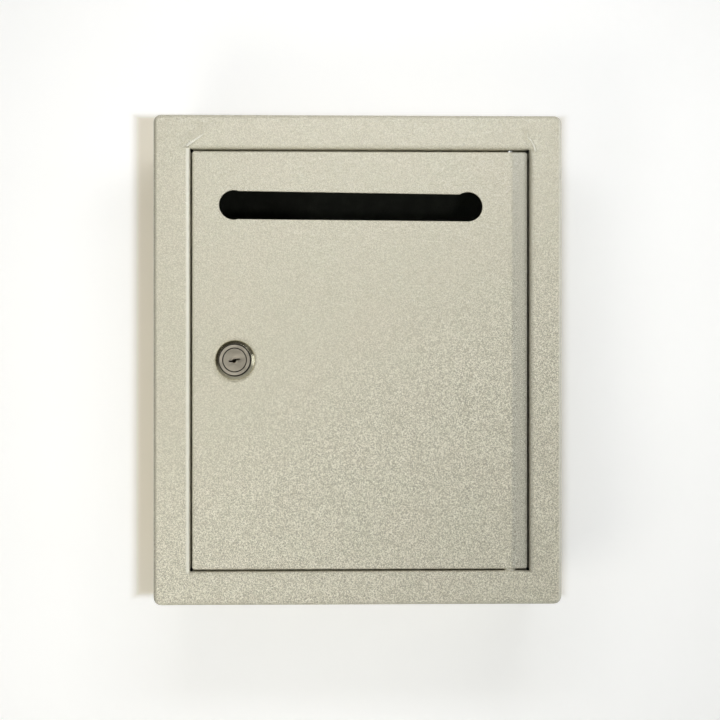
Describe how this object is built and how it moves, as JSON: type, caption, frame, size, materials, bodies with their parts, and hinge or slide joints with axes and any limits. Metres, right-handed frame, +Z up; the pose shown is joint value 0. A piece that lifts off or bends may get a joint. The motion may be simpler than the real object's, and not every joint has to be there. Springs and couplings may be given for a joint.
{
  "type": "wall drop box",
  "caption": "Small wall-hung steel drop box: folded case with an inset hinged door, a long drop slot with round ends and a cam lock.",
  "frame": {"origin": "middle of the back face, where the box meets the wall", "axes": "+X to the right as seen from the front, +Y into the wall (the front faces -Y), +Z up"},
  "size_m": [0.2084, 0.0844, 0.25],
  "materials": {
    "case_paint": "textured powder coat",
    "door_paint": "textured powder coat",
    "inner_paint": "flat dark primer inside, thin powder coat on the wall side",
    "bright_nickel": "bright nickel plate",
    "bright_chrome": "bright plate",
    "satin_nickel": "satin nickel plate",
    "nut_nickel": "nickel plate",
    "cam_steel": "stamped, zinc plated",
    "zinc_steel": "zinc plated",
    "spacer_nylon": "moulded nylon",
    "wafer_brass": "stamped",
    "spring_steel": "drawn wire"
  },
  "bodies": {
    "case": {"case_shell": "case_paint", "back_panel": "inner_paint", "hinge_spacer": "spacer_nylon"},
    "door": {"door_panel": "door_paint", "hinge_pin_upper": "zinc_steel", "hinge_pin_lower": "zinc_steel", "lock_housing": "bright_nickel", "lock_bezel": "bright_chrome", "lock_washer": "zinc_steel", "lock_nut": "nut_nickel"},
    "lock_plug": {"lock_plug": "satin_nickel", "cam_stop_washer": "zinc_steel", "lock_cam": "cam_steel", "cam_washer": "zinc_steel", "cam_screw": "zinc_steel", "wafer_spring_1": "spring_steel", "wafer_spring_2": "spring_steel", "wafer_spring_3": "spring_steel", "wafer_spring_4": "spring_steel", "wafer_spring_5": "spring_steel"},
    "wafer_1": {"wafer_1": "wafer_brass"},
    "wafer_2": {"wafer_2": "wafer_brass"},
    "wafer_3": {"wafer_3": "wafer_brass"},
    "wafer_4": {"wafer_4": "wafer_brass"},
    "wafer_5": {"wafer_5": "wafer_brass"}
  },
  "joints": [
    {"name": "door_hinge", "type": "hinge", "parent": "case", "child": "door", "pos_m": [0.07795, -0.0758, 0], "axis": [0, 0, 1], "range_deg": [0, 130]},
    {"name": "lock_turn", "type": "hinge", "parent": "door", "child": "lock_plug", "pos_m": [-0.06245, -0.08, 0], "axis": [0, 1, 0], "range_deg": [0, 90]},
    {"name": "wafer_1_slide", "type": "slide", "parent": "lock_plug", "child": "wafer_1", "axis": [1, 0, 0], "range_m": [0, 0.0009], "stiffness_N_per_m": 20, "springref_m": 0.0009, "deforming": ["wafer_spring_1"]},
    {"name": "wafer_2_slide", "type": "slide", "parent": "lock_plug", "child": "wafer_2", "axis": [1, 0, 0], "range_m": [0, 0.0009], "stiffness_N_per_m": 20, "springref_m": 0.0009, "deforming": ["wafer_spring_2"]},
    {"name": "wafer_3_slide", "type": "slide", "parent": "lock_plug", "child": "wafer_3", "axis": [1, 0, 0], "range_m": [0, 0.0009], "stiffness_N_per_m": 20, "springref_m": 0.0009, "deforming": ["wafer_spring_3"]},
    {"name": "wafer_4_slide", "type": "slide", "parent": "lock_plug", "child": "wafer_4", "axis": [1, 0, 0], "range_m": [0, 0.0009], "stiffness_N_per_m": 20, "springref_m": 0.0009, "deforming": ["wafer_spring_4"]},
    {"name": "wafer_5_slide", "type": "slide", "parent": "lock_plug", "child": "wafer_5", "axis": [1, 0, 0], "range_m": [0, 0.0009], "stiffness_N_per_m": 20, "springref_m": 0.0009, "deforming": ["wafer_spring_5"]}
  ],
  "couplings": [
    {"joint": "wafer_2_slide", "follows": "wafer_1_slide", "ratio": 1},
    {"joint": "wafer_3_slide", "follows": "wafer_1_slide", "ratio": 1},
    {"joint": "wafer_4_slide", "follows": "wafer_1_slide", "ratio": 1},
    {"joint": "wafer_5_slide", "follows": "wafer_1_slide", "ratio": 1}
  ]
}
